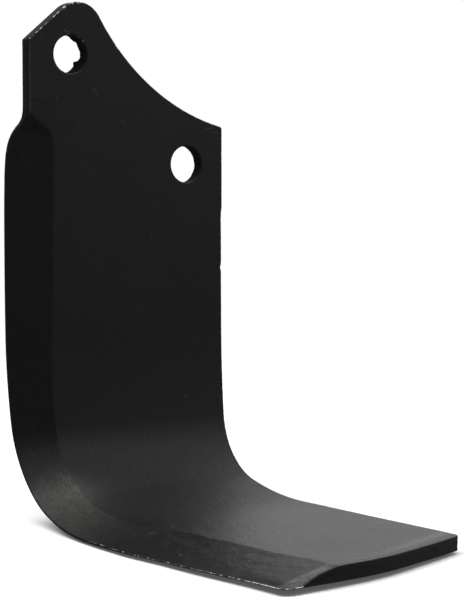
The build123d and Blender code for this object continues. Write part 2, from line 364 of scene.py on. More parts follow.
bev = step(18.0, 26.0, OW) * step(6.0, -4.0, np.abs(OX - edge_x(OW)) + 6.0 - 3.0)
bev = np.where(OX < bevel_x(OW), step(18.0, 26.0, OW), 0.0)
RF = np.full(N, 0.45)
RF[on_tang] = 0.60
RF[on_cut] = 0.34
RF[on_tip] = 0.42
RF[on_rel] = 0.36
RF[on_trail] = 0.42
RF[on_end] = 0.26
RF = np.where(on_cutting, 0.14 + 0.32 * (1 - step(18.0, 25.0, OW)), RF)
RF = np.where(on_end & (OX < bevel_x(OW)), 0.18, RF)
RB = np.full(N, 0.42)
RB[on_end] = 0.34
RB[on_end & (OX < -9.0)] = 0.20
RB[on_tang | on_cut | on_tip] = 0.24
RB = np.where(on_cutting, 0.26 + 0.16 * (1 - step(18.0, 25.0, OW)), RB)
for arr in (RF, RB):
    for _ in range(6):
        arr[:] = (np.roll(arr, 1) + arr + np.roll(arr, -1)) / 3

# how chipped each stretch of the outline is, 0 to 1
CHIP = np.full(N, 0.10)
CHIP[on_tang] = 0.16
CHIP[on_cut] = 0.73
CHIP = np.where(on_tip, 0.30 + 0.44 * step(9.5, 4.5, OX), CHIP)
CHIP = np.where(on_rel, 0.34 + 0.22 * step(14.0, 50.0, OX), CHIP)
CHIP = np.where(on_rel & (OX > TRAIL_X - 8.0), 0.62, CHIP)
CHIP = np.where(on_rel, CHIP + 0.56 * np.exp(-((OX - REL_CHIP_X) / 1.3) ** 2), CHIP)
CHIP = np.where(on_trail, 0.20 + 0.22 * np.exp(-((OW - 20.0) / 3.0) ** 2)
                + 0.62 * np.exp(-((OW - 79.0) / 1.7) ** 2), CHIP)
CHIP = np.where(on_cutting, 0.16 + 0.475 * step(174.0, 196.0, OW) + 0.22 * step(256, 274, OW), CHIP)
CHIP = np.where(on_end, 0.24 + 0.18 * np.exp(-((OX - 32.0) / 16.0) ** 2), CHIP)
CHIP = np.where((OX < -12.2) & (OW > W_END - 3.8), 0.75, CHIP)
CHIP = np.where((np.abs(OX + 11.2) < 1.0) & (OW > W_END - 2.0), 0.98, CHIP)
SPREAD = np.where(on_tip & (OX < 6.0), 0.9, 0.0) + np.where(on_cut & (OX < -12.5), 0.6, 0.0)
SPREAD = np.where((OX < -12.2) & (OW > W_END - 3.8), 0.5, SPREAD)
SPREAD = np.where((np.abs(OX + 11.2) < 1.0) & (OW > W_END - 2.0), 1.0, SPREAD)
SPREAD = np.where(on_rel & (OX > TRAIL_X - 4.0), 0.3, SPREAD)
SPREAD = np.where(on_rel & (np.abs(OX - REL_CHIP_X) < 1.6), 0.8, SPREAD)
SPREAD = np.where(on_trail & (np.abs(OW - 79.0) < 1.8), 0.8, SPREAD)
SPREAD = np.where(on_cutting & (OW > 176.0), 0.15, SPREAD)
SPREAD = np.where(on_cutting & (OW > 262.0), 0.72, SPREAD)
SPREAD = np.where(on_cutting & (OW > 270.0), 0.92, SPREAD)
for _ in range(4):
    CHIP = (np.roll(CHIP, 1) + CHIP + np.roll(CHIP, -1)) / 3
    SPREAD = (np.roll(SPREAD, 1) + SPREAD + np.roll(SPREAD, -1)) / 3

# =============================================================================
# Mesh
# =============================================================================
VX, VW, VT, VC, VK = [], [], [], [], []      # x, w, t, chip, kind (1 front, 0 wall, -1 back)
FACES = []


def add(x, w, t, chip, kind):
    """Adds a row of points and returns their numbers."""
    n = len(VX)
    x, w, t = np.broadcast_arrays(np.asarray(x, float), np.asarray(w, float), np.asarray(t, float))
    VX.extend(x.tolist()); VW.extend(w.tolist()); VT.extend(t.tolist())
    VC.extend(np.broadcast_to(chip, x.shape).tolist())
    VK.extend(np.broadcast_to(kind, x.shape).tolist())
    return np.arange(n, n + len(x))


def strip(a, b, flip=False):
    """Quads between two closed rows of equal count."""
    n = len(a)
    for i in range(n):
        j = (i + 1) % n
        q4 = (int(a[i]), int(a[j]), int(b[j]), int(b[i]))
        FACES.append(q4[::-1] if flip else q4)


uneven = fine(OX * 1.0, OW * 1.0)
rough = nicks(OX, OW)
# nicks bitten out of the front corner of the edges, by chip strength
bite = np.clip(rough * 0.9 + CHIP - 0.55, 0, 1) * (0.10 + 0.10 * on_cutting + 0.08 * on_cut)

front_rows = []
for ins in (0.62, 0.40, 0.20):
    x_, w_ = OX - NX * (RF + ins), OW - NW * (RF + ins)
    front_rows.append(add(x_, w_, front_depth(x_, w_), CHIP * ((0.30 + 0.65 * SPREAD) if ins < 0.3 else (0.05 + 0.72 * SPREAD) if ins < 0.5 else 0.02), 1.0))
thetas = (0.0, 22.0, 45.0, 68.0, 90.0)
for th in thetas:
    c, s_ = math.cos(math.radians(th)), math.sin(math.radians(th))
    ins = RF * (1 - s_) + bite * c * 0.6
    x_, w_ = OX - NX * ins, OW - NW * ins
    d = front_depth(OX - NX * RF, OW - NW * RF)
    d2 = front_depth(x_, w_)
    tt = d * (1 - s_) + d2 * s_ + RF * (1 - c) + bite * (0.3 + 0.7 * s_) * 0.6
    front_rows.append(add(x_, w_, np.minimum(tt, THICK - RB - 0.08), CHIP * np.where(on_cut, {0.0: 0.35, 22.0: 0.62, 45.0: 1.0, 68.0: 0.86, 90.0: 0.42}[th], 0.85 + 0.15 * s_), 1.0 if th < 30 else 0.5))
for a, b in zip(front_rows[:-1], front_rows[1:]):
    strip(a, b)
top_t = np.array([VT[i] for i in front_rows[-1]])
bot_t = THICK - RB
# the sheared wall: smooth near the punch side, torn lower down
wall_rows = [front_rows[-1]]
tear = Waves(21, 0.8, 3.5, n=30)
shear = Waves(22, 3.0, 12.0, n=16)
levels = (0.10, 0.22, 0.35, 0.48, 0.61, 0.74, 0.87)
lean = np.where(on_tang, 0.17, 0.0)
for _ in range(8):
    lean = (np.roll(lean, 1) + lean + np.roll(lean, -1)) / 3
for f in levels:
    depth_in = 0.05 * np.clip(shear(OX + OW, OW - OX + 10 * f), 0, 1)
    torn = step(0.35, 0.6, f + 0.12 * shear(OX * 0.6 + OW * 0.6, f * 3.0))
    depth_in = depth_in + torn * (0.07 + 0.06 * tear(OX + OW * 0.9, f * 4.2 + OX - OW))
    depth_in = np.clip(depth_in, 0.0, 0.25) * np.where(on_cutting, 0.5, np.where(on_tang, 0.45, 1.0))
    depth_in = depth_in + lean * f ** 3.2
    x_, w_ = OX - NX * depth_in, OW - NW * depth_in
    wall_rows.append(add(x_, w_, top_t + (bot_t - top_t) * f, CHIP * 0.12 * (1 - f), 0.0))
back_rows = []
for th in (90.0, 62.0, 32.0, 0.0):
    c, s_ = math.cos(math.radians(th)), math.sin(math.radians(th))
    ins = RB * (1 - s_)
    lip = 0.05 * (uneven * 0.5 + 0.5) * (th > 80)
    x_, w_ = OX - NX * (ins + 0.02 + lip + lean), OW - NW * (ins + 0.02 + lip + lean)
    back_rows.append(add(x_, w_, THICK - RB * (1 - c), 0.25 * CHIP, 0.0 if th > 40 else -1.0))
for ins in (0.25, 0.55):
    x_, w_ = OX - NX * (RB + ins + lean), OW - NW * (RB + ins + lean)
    back_rows.append(add(x_, w_, THICK, 0.0, -1.0))
allw = wall_rows + back_rows
for a, b in zip(allw[:-1], allw[1:]):
    strip(a, b)

# ---- holes ------------------------------------------------------------------
HN = 120
ph = np.linspace(0, 2 * math.pi, HN, endpoint=False)
hole_front, hole_back = [], []
for hi_, (hx, hw) in enumerate(HOLES):
    up = np.sin(ph)                           # +1 at the top of the hole
    g = Waves(31 + hi_, 0.9, 4.0, n=30)
    chipped = np.full(HN, 0.22)
    if hi_ == 0:
        for deg, sp, st in ((97, 7, 0.80), (84, 7, 0.72), (62, 9, 0.84), (44, 7, 0.70), (-58, 24, 0.50), (15, 16, 0.36)):
            dd = np.abs((np.degrees(ph) - deg + 180) % 360 - 180)
            chipped = np.maximum(chipped, st * np.exp(-(dd / sp) ** 2))
    rr_front = HOLE_R + 0.03 * g(6 * np.cos(ph), 6 * np.sin(ph))
    rim_bite = np.clip(chipped - 0.5, 0, 1) * (0.30 + 0.30 * g(9 * np.cos(ph) + 3, 9 * np.sin(ph)))
    rows = []
    for rad, kind in ((7.95, 1.0), (7.5, 1.0), (7.15, 1.0)):
        x_, w_ = hx + rad * np.cos(ph), hw - rad * np.sin(ph)
        rows.append(add(x_, w_, front_depth(x_, w_), chipped * (0.55 if rad < 7.3 else 0.15), kind))
    rim = 0.42
    for th in (0.0, 25.0, 50.0, 72.0, 90.0):
        c, s_ = math.cos(math.radians(th)), math.sin(math.radians(th))
        rad = rr_front + rim * (1 - s_) + rim_bite * c * 0.8
        x_, w_ = hx + rad * np.cos(ph), hw - rad * np.sin(ph)
        rows.append(add(x_, w_, front_depth(x_, w_) + rim * (1 - c) + rim_bite * 0.6 * s_,
                        chipped * (0.95 if th < 60 else 0.5), 0.5))
    # the punched wall: a smooth band first, then a torn one that opens out,
    # and in the upper hole a tongue of metal left hanging near the back
    wall = []
    for lv in (0.8, 1.2, 1.6, 2.0, 2.4, 2.8, 3.2, 3.6, 4.0, 4.35, 4.65):
        edge_at = 1.9 + 0.5 * g(4 * np.cos(ph), 4 * np.sin(ph))
        torn = step(-0.25, 0.35, lv - edge_at)
        rad = rr_front + torn * (0.12 + 0.055 * g(5.2 * np.cos(ph) + lv * 0.9, 5.2 * np.sin(ph) - lv))
        if hi_ == 0:
            deg_ = (np.degrees(ph) + 180) % 360 - 180
            tongue = np.interp(deg_, [-104, -92, -77, -66, -47, -45, -31.4, -29, -13.5, -7.0, 2.0],
                               [9.9, 6.20, 5.90, 5.70, 5.42, 5.38, 4.55, 4.62, 6.20, 6.45, 9.9])
            lvl = step(2.2, 3.4, lv)
            inner = np.minimum(tongue + 0.10 * g(7 * np.cos(ph) + 2, 7 * np.sin(ph) + lv), rad)
            rad = rad + (inner - rad) * lvl
            dd2 = (np.degrees(ph) - 24.0 + 180) % 360 - 180
            rad = rad - 0.12 * lvl * step(12.0, 6.0, np.abs(dd2)) * (1 + 0.5 * g(8 * np.sin(ph), lv))
            dd3 = (np.degrees(ph) - 57.0 + 180) % 360 - 180
            rad = rad - 0.42 * step(1.4, 2.4, lv) * step(14.0, 7.0, np.abs(dd3)) * (1 + 0.5 * g(8 * np.sin(ph) + 4, lv))
        x_, w_ = hx + rad * np.cos(ph), hw - rad * np.sin(ph)
        wall.append(add(x_, w_, lv, 0.10, 0.0))
    last_rad = rad
    rows += wall
    for extra, tt, kd in ((0.10, 4.88, 0.0), (0.30, 4.98, -1.0), (0.62, 5.0, -1.0)):
        rad = last_rad + extra
        x_, w_ = hx + rad * np.cos(ph), hw - rad * np.sin(ph)
        rows.append(add(x_, w_, tt, 0.1, kd))
    for rad in (7.6, 8.3):
        x_, w_ = hx + rad * np.cos(ph), hw - rad * np.sin(ph)
        rows.append(add(x_, w_, THICK, 0.0, -1.0))
    for a, b in zip(rows[:-1], rows[1:]):
        strip(a, b)
    hole_front.append(rows[0])
    hole_back.append(rows[-1])


# ---- the two broad faces, triangulated between the rows -----------------------
def inside_outline(x, w, margin):
    ok = (w < end_w(x) - margin) & (x < TRAIL_X - 0.3 - margin)
    xe = np.where(w > 17.5, edge_x(np.clip(w, 17.5, None)), TANG_X)
    ok &= x > xe + margin
    z = -w
    ok &= ~((z > CUT_Z0 + CUT_SLOPE * (x - TANG_X) - margin * norm))
    d_rel = np.hypot(x - REL_X, z - REL_Z)
    ok &= d_rel > REL_R + margin
    d_tip = np.hypot(x - tip_x, z - tip_z)
    above = (z > tip_z) & (x > cut_touch[0])
    ok &= ~(above & (d_tip > TIP_R - margin))
    ok &= ~((z > rel_touch[1]) & (x > tip_x) & (d_tip > TIP_R - margin))
    # corners
    ok &= ~((x > TRAIL_X - 3.2) & (w > w_far - 3.6) & (np.hypot(x - (TRAIL_X - 2.6), w - (w_far - 1.9)) > 2.6 - margin + 0.4)
            & (x > TRAIL_X - 2.6) & (w > w_far - 1.9))
    ok &= ~((x < x_near + 3.2) & (w > W_END - 3.2)
            & (np.hypot(x - (x_near + 3.2), w - (W_END - 3.2)) > 3.1 - margin))
    for hx, hw in HOLES:
        ok &= np.hypot(x - hx, w - hw) > 7.6 + margin - 1.0
    return ok


def grid(h, seed, jitter=0.12):
    g = np.random.RandomState(seed)
    rows = np.arange(-20.0, W_END + 1, h * 0.866)
    cols = np.arange(-25.0, 65.0, h)
    x, w = np.meshgrid(cols, rows)
    x = x + (np.arange(len(rows)) % 2)[:, None] * h / 2
    x = x + g.uniform(-jitter, jitter, x.shape) * h
    w = w + g.uniform(-jitter, jitter, w.shape) * h
    return x.ravel(), w.ravel()


def fill(outer, holes, gx, gw, depth, kind, flip):
    ring = list(outer) + [i for h in holes for i in h]
    pts = [Vector((VX[i], VW[i])) for i in ring]
    edges, base = [], 0
    for part in [outer] + list(holes):
        n = len(part)
        edges += [(base + i, base + (i + 1) % n) for i in range(n)]
        base += n
    pts += [Vector((float(a), float(b))) for a, b in zip(gx, gw)]
    new = add(gx, gw, depth, 0.0, kind)
    names = list(ring) + new.tolist()
    _, _, fo, ov, _, _ = delaunay_2d_cdt(pts, edges, [], 2, 1e-6)
    ring_of = [0] * len(outer) + [k + 1 for k, h in enumerate(holes) for _ in h] + [0] * len(gx)
    good = []
    for f_ in fo:
        if not all(ov[i] for i in f_):
            continue
        src = [ov[i][0] for i in f_]
        r0 = ring_of[src[0]]
        if r0 and all(ring_of[i] == r0 for i in src):
            continue                          # lies across a hole
        good.append(src)
    for src in good:
        a, b, c = (pts[i] for i in src)
        ccw = (b[0] - a[0]) * (c[1] - a[1]) - (b[1] - a[1]) * (c[0] - a[0]) > 0
        tri = tuple(int(names[i]) for i in src)
        if ccw == flip:
            tri = tri[::-1]
        FACES.append(tri)
    return len(good)


# front: a dense grid, with rows of points along both sides of the bevel line
gx, gw = grid(0.86, 5)
ok = inside_outline(gx, gw, 1.42)
for hx, hw in HOLES:
    ok &= np.hypot(gx - hx, gw - hw) > 8.4
near_line = (gw > 24.0) & (np.abs(gx - bevel_x(np.clip(gw, 12, 288))) < 1.75)
ok &= ~near_line
gx, gw = gx[ok], gw[ok]
lw = np.arange(24.0, W_END - 1.6, 0.50)
lx, lz = [], []
for off, ph_ in ((-1.25, 0.0), (-0.70, 0.25), (-0.28, 0.0), (0.0, 0.25), (0.28, 0.0), (0.70, 0.25), (1.25, 0.0)):
    ww = lw + ph_
    xx = bevel_x(ww) + off
    k_ = inside_outline(xx, ww, 1.3)
    lx.append(xx[k_]); lz.append(ww[k_])
gx, gw = np.r_[gx, np.concatenate(lx)], np.r_[gw, np.concatenate(lz)]
n_front = fill(front_rows[0], hole_front, gx, gw, front_depth(gx, gw), 1.0, True)

# back: a coarser grid
gx, gw = grid(1.75, 6)
ok = inside_outline(gx, gw, 1.7)
for hx, hw in HOLES:
    ok &= np.hypot(gx - hx, gw - hw) > 9.0
gx, gw = gx[ok], gw[ok]
back_wave = Waves(41, 10.0, 34.0)
back_t = THICK - 0.035 * (back_wave(gx, gw) + 1) * (0.25 + 0.75 * step(205, 175, gw)) \
    * step(1.0, 6.0, np.minimum(TRAIL_X - gx, gx - np.where(gw > 17.5, edge_x(np.clip(gw, 17.5, None)), TANG_X)))
n_back = fill(back_rows[-1], hole_back, gx, gw, np.clip(back_t, 0, THICK), -1.0, False)

co = to_space(np.array(VX), np.array(VW), np.array(VT))
co[:, 2] = np.minimum(co[:, 2], 0.018030)         # the top of the tang keeps inside the CAD box
mesh = bpy.data.meshes.new("blade_forged")
mesh.from_pydata(co.tolist(), [], FACES)
mesh.validate(verbose=False)
mesh.update()
import bmesh
bm = bmesh.new()
bm.from_mesh(mesh)
bmesh.ops.recalc_face_normals(bm, faces=bm.faces)
loose = [v for v in bm.verts if not v.link_faces]
bm.verts.ensure_lookup_table()
flat_l = bm.verts.layers.float_vector.new("strip")
chip_l = bm.verts.layers.float.new("chip")
kind_l = bm.verts.layers.float.new("side")
bevel_l = bm.verts.layers.float.new("bevel")
painted_highlight_l = bm.verts.layers.float.new("painted_highlight")
buff_and_highlight_l = bm.verts.layers.float.new("buff_and_highlight")
bore_l = bm.verts.layers.float.new("bore")
VXa, VWa = np.array(VX), np.array(VW)
gap_ = end_w(VXa) - VWa
reach_ = 4.0 + 1.6 * step(2.0, 18.0, VXa) + 2.4 * step(20.0, 58.0, VXa)
# painted highlight: a lighter band along the rolled-over end of the foot
painted_highlight = np.exp(-((gap_ / reach_ - 0.72) / 0.26) ** 2) * (0.25 + 0.75 * step(16.0, 44.0, VXa) + 0.45 * step(7.0, 0.0, VXa))
# where the paint is rubbed dull in the bend, partly real wear and partly a painted highlight (a lighter warm base
# colour):
# strongest along the bevel line, fading down the bevel and over the line onto the flat
wl = np.clip(VWa, 12, 288)
past = VXa - bevel_x(wl)
share = np.clip(-past / np.maximum(bevel_x(wl) - edge_x(wl), 0.3), 0, 1)
at_line = 0.93 * step(138, 154, VWa) * np.exp(-(np.clip(VWa - 153, 0, None) / 20.0) ** 1.25)
at_edge = 0.60 * step(142, 154, VWa) * (1 - 0.92 * step(144, 206, VWa))
on_flat = 0.66 * step(141, 156, VWa) * np.exp(-(np.clip(VWa - 156, 0, None) / 12.0) ** 1.3) * np.exp(-np.clip(past, 0, None) / 8.0)
buff_and_highlight = at_line + (at_edge - at_line) * share
buff_and_highlight = buff_and_highlight + (on_flat - buff_and_highlight) * step(-0.5, 0.5, past)
bore = np.zeros(len(VXa))
for hx, hw in HOLES:
    bore = np.maximum(bore, step(8.3, 6.9, np.hypot(VXa - hx, VWa - hw)) * step(0.15, 0.7, np.array(VT)))
# painted highlight: a light band along the end edge near the cutting corner
band_ = step(0.05, 0.25, gap_ / reach_) * step(1.02, 0.86, gap_ / reach_) * step(2.5, -2.0, VXa) * step(-15.5, -11.0, VXa)
painted_highlight = np.maximum(painted_highlight * 0.78, 1.15 * band_)
# painted highlight: a thin light line along the front edge of the tang
tang_line = np.exp(-((VXa - TANG_X - 0.42) / 0.30) ** 2) * step(-4.3, -3.9, VWa) * step(22.0, 19.0, VWa) * step(0.9, 0.6, np.array(VT))
painted_highlight = np.maximum(painted_highlight, 0.62 * tang_line)
bv = step(0.8, -0.4, VXa - bevel_x(np.clip(VWa, 12, 288))) * step(20.0, 26.0, VWa)
for v in bm.verts:
    i = v.index
    v[flat_l] = (VX[i], VW[i], VT[i])
    v[chip_l] = VC[i]
    v[kind_l] = VK[i]
    v[painted_highlight_l] = float(painted_highlight[i]) if VK[i] > 0.3 else 0.0
    v[buff_and_highlight_l] = float(buff_and_highlight[i]) if VK[i] > 0.2 else 0.0
    v[bore_l] = float(bore[i])
    v[bevel_l] = float(bv[i]) * (1.0 if VK[i] > 0.2 else 0.0)
if loose:
    bmesh.ops.delete(bm, geom=loose, context="VERTS")
open_edges = sum(1 for e in bm.edges if len(e.link_faces) != 2)
# outward normals: the front of the leg looks to -Y
vol = bm.calc_volume(signed=True)
if vol < 0:
    bmesh.ops.reverse_faces(bm, faces=bm.faces)
bm.to_mesh(mesh)
bm.free()
for p in mesh.polygons:
    p.use_smooth = True
tris = sum(len(p.vertices) - 2 for p in mesh.polygons)
print("blade mesh:", N, "outline points,", len(mesh.vertices), "vertices,", tris,
      "triangles, open edges", open_edges, "volume mm3", round(abs(vol) * 1e9, 1))

blade = bpy.data.objects.new("blade_forged", mesh)
bpy.context.collection.objects.link(blade)
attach(blade, "root")
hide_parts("blade")


# =============================================================================
# Materials
# =============================================================================
class Net:
    """Small helper for node trees."""

    def __init__(self, tree):
        self.t = tree
        self.n = tree.nodes
        self.n.clear()

    def new(self, kind, **props):
        node = self.n.new(kind)
        for k, v in props.items():
            setattr(node, k, v)
        return node

    def link(self, a, b):
        self.t.links.new(a, b)

    def put(self, socket, value):
        if hasattr(value, "is_output"):
            self.link(value, socket)
        else:
            socket.default_value = value

    def math(self, op, a, b=None, c=None, clamp=False):
        m = self.new("ShaderNodeMath", operation=op, use_clamp=clamp)
        self.put(m.inputs[0], a)
        if b is not None:
            self.put(m.inputs[1], b)
        if c is not None:
            self.put(m.inputs[2], c)
        return m.outputs[0]

    def ramp(self, fac, lo, hi, a=0.0, b=1.0, smooth=True):
        m = self.new("ShaderNodeMapRange")
        m.interpolation_type = "SMOOTHSTEP" if smooth else "LINEAR"
        self.put(m.inputs["Value"], fac)
        m.inputs["From Min"].default_value = lo
        m.inputs["From Max"].default_value = hi
        m.inputs["To Min"].default_value = a
        m.inputs["To Max"].default_value = b
        return m.outputs["Result"]

    def scale(self, vec, s3):
        m = self.new("ShaderNodeVectorMath", operation="MULTIPLY")
        self.put(m.inputs[0], vec)
        m.inputs[1].default_value = s3
        return m.outputs[0]

    def turn(self, vec, angle, s3):
        m = self.new("ShaderNodeMapping")
        self.put(m.inputs["Vector"], vec)
        m.inputs["Rotation"].default_value = (0, 0, angle)
        m.inputs["Scale"].default_value = s3
        return m.outputs[0]

    def noise(self, vec, scale, detail=2.0, rough=0.5, distort=0.0):
        m = self.new("ShaderNodeTexNoise")
        self.put(m.inputs["Vector"], vec)
        m.inputs["Scale"].default_value = scale
        m.inputs["Detail"].default_value = detail
        m.inputs["Roughness"].default_value = rough
        m.inputs["Distortion"].default_value = distort
        return m.outputs["Fac"]

    def mix(self, fac, a, b):
        m = self.new("ShaderNodeMix", data_type="RGBA")
        self.put(m.inputs[0], fac)
        self.put(m.inputs[6], a)
        self.put(m.inputs[7], b)
        return m.outputs[2]

    def bump(self, height, dist, strength=1.0, normal=None):
        m = self.new("ShaderNodeBump")
        m.inputs["Strength"].default_value = strength
        m.inputs["Distance"].default_value = dist
        self.put(m.inputs["Height"], height)
        if normal is not None:
            self.link(normal, m.inputs["Normal"])
        return m.outputs[0]

    def attr(self, name, vector=False):
        m = self.new("ShaderNodeAttribute", attribute_type="GEOMETRY", attribute_name=name)
        return m.outputs["Vector" if vector else "Fac"]


mat = bpy.data.materials.new("black_paint_forged")
mat.use_nodes = True
n = Net(mat.node_tree)
out = n.new("ShaderNodeOutputMaterial")
sh = n.new("ShaderNodeBsdfPrincipled")
n.link(sh.outputs[0], out.inputs[0])
P = n.attr("strip", True)
chip = n.attr("chip")
side = n.attr("side")
bevel = n.attr("bevel")
painted_highlight = n.attr("painted_highlight")
buff_and_highlight = n.attr("buff_and_highlight")
bore = n.attr("bore")
sep = n.new("ShaderNodeSeparateXYZ")
n.link(P, sep.inputs[0])
X, W = sep.outputs[0], sep.outputs[1]

# -- paint surface: orange peel over mill scale; rolled streaks run along the
#    strip and show most where the plate was drawn round the bend
peel = n.noise(P, 0.95, 2.0, 0.55)
scale_ = n.noise(n.turn(P, math.radians(-28), (1.0, 2.4, 1.0)), 0.85, 3.0, 0.6)
drawn = n.noise(n.scale(P, (1.0, 0.20, 1.0)), 1.05, 3.0, 0.62, 0.15)
grain = n.noise(P, 2.6, 3.0, 0.65)
cloud = n.noise(P, 0.045, 3.0, 0.5)
pits = n.noise(n.turn(P, math.radians(20), (1.0, 1.5, 1.0)), 0.42, 4.0, 0.62, 0.4)
pit = n.ramp(pits, 0.60, 0.78)
bent = n.math("MULTIPLY", n.ramp(W, 122, 146), n.ramp(W, 208, 165))
height = n.math("ADD", n.math("MULTIPLY", peel, 0.50), n.math("MULTIPLY", scale_, 0.60))
height = n.math("ADD", height, n.math("MULTIPLY", grain, 0.26))
height = n.math("SUBTRACT", height, n.math("MULTIPLY", pit, 0.30))
height = n.math("ADD", height, n.math("MULTIPLY", n.math("MULTIPLY", drawn, bent), 1.5))
height = n.math("ADD", height, n.math("MULTIPLY", n.math("MULTIPLY", grain, bent), 1.0))
height = n.math("MULTIPLY", height, n.math("ADD", n.ramp(W, 112, 152, 0.34, 1.12), n.math("MULTIPLY", n.ramp(W, 160, 205), 0.48)))
height = n.math("MULTIPLY", height, n.math("SUBTRACT", 1.0, n.math("MULTIPLY", bevel, n.ramp(W, 120, 60, 0.0, 0.35))))
height = n.math("MULTIPLY", height, n.math("SUBTRACT", 1.0, n.math("MULTIPLY", bevel, n.ramp(W, 196, 214, 0.0, 0.42))))
height = n.math("MULTIPLY", height, n.ramp(side, 0.2, 0.8, 0.50, 1.0))
nrm = n.bump(height, 0.00021, 1.0)

# -- brushed lines on the bevel, strongest round the bend where it was ground
lines = n.noise(n.turn(P, math.radians(4), (2.3, 0.22, 1.0)), 1.0, 3.0, 0.6)
lines_fine = n.noise(n.turn(P, math.radians(-9), (4.6, 0.40, 1.0)), 1.0, 2.0, 0.6)
in_bend = n.math("MULTIPLY", n.ramp(W, 138, 156), n.ramp(W, 200, 158))
in_bend = n.math("MULTIPLY", in_bend, n.ramp(X, -23.0, -8.5, 0.34, 1.0))
low_bevel = n.ramp(W, 150, 200)
grind = n.math("MULTIPLY", bevel, n.math("ADD", n.math("MULTIPLY", in_bend, 0.9), n.math("MULTIPLY", low_bevel, 0.25)))
lh = n.math("ADD", n.math("MULTIPLY", lines, 0.7), n.math("MULTIPLY", lines_fine, 0.5))
lh = n.math("MULTIPLY", lh, grind)
nrm = n.bump(lh, 0.00022, 1.0, nrm)

# -- slanting hammer and dust streaks on the foot's bevel
def slanted(deg, long_, short_):
    m = n.new("ShaderNodeMapping", vector_type="TEXTURE")
    n.put(m.inputs["Vector"], P)
    m.inputs["Rotation"].default_value = (0.0, 0.0, math.radians(deg))
    m.inputs["Scale"].default_value = (long_, short_, 1.0)
    return m.outputs[0]


on_low = n.math("MULTIPLY", bevel, n.ramp(W, 196, 214))
slant = n.math("ADD", n.noise(slanted(118, 6.0, 1.3), 1.0, 2.0, 0.5), n.math("MULTIPLY", n.noise(slanted(112, 2.6, 0.7), 1.0, 1.0, 0.5), 0.35))
nrm = n.bump(n.math("MULTIPLY", slant, n.math("MULTIPLY", on_low, n.ramp(X, -20.0, -9.0, 0.35, 1.0))), 0.00002, 1.0, nrm)

# -- chips: cream undercoat and bare steel on the worn edges
chip_noise = n.noise(P, 0.75, 4.0, 0.62)
chip_fine = n.noise(P, 2.3, 3.0, 0.6)
cn = n.math("ADD", n.math("MULTIPLY", chip_noise, 0.62), n.math("MULTIPLY", chip_fine, 0.38))
cut_edge = n.math("MULTIPLY", n.ramp(W, 166, 178), n.ramp(X, -13.0, -15.5))
cut_edge = n.math("MAXIMUM", cut_edge, n.math("MULTIPLY", n.ramp(W, -3.0, -4.5), n.ramp(X, -2.0, -4.0)))
cn_low = n.math("ADD", n.math("MULTIPLY", n.noise(P, 1.15, 2.0, 0.6), 0.62), n.math("MULTIPLY", chip_fine, 0.38))
cn = n.math("ADD", n.math("MULTIPLY", cn_low, cut_edge), n.math("MULTIPLY", cn, n.math("SUBTRACT", 1.0, cut_edge)))
level = n.math("ADD", n.math("MULTIPLY", chip, 0.62), cn)
chips = n.ramp(level, 0.92, 0.97)
chips_soft = n.ramp(level, 0.80, 0.98)

# -- dust specks and dry scuffs
vor = n.new("ShaderNodeTexVoronoi", feature="F1")
n.put(vor.inputs["Vector"], P)
vor.inputs["Scale"].default_value = 0.26
speck_on = n.ramp(vor.outputs["Color"], 0.70, 0.74, smooth=False)
speck = n.math("MULTIPLY", n.ramp(vor.outputs["Distance"], 0.060, 0.030), speck_on)
speck = n.math("MULTIPLY", speck, 0.9)

dust = n.math("MULTIPLY", n.ramp(n.noise(P, 0.30, 6.0, 0.7, 0.3), 0.62, 0.80), 0.5)

# -- dry rubbed patches: dusty sweeps on the foot's bevel, and a warm one in the bend that is part rubbed paint, part painted highlight
sweep = n.ramp(n.noise(slanted(116, 10.0, 3.6), 1.0, 3.0, 0.6, 0.3), 0.48, 0.64)
crumbs = n.ramp(n.noise(P, 2.9, 3.0, 0.7), 0.46, 0.64)
swept = n.math("MULTIPLY", n.math("MULTIPLY", sweep, crumbs), n.math("MULTIPLY", bevel, n.math("MULTIPLY", n.ramp(W, 184, 200), n.ramp(X, -19.0, -9.0, 0.25, 1.0))))

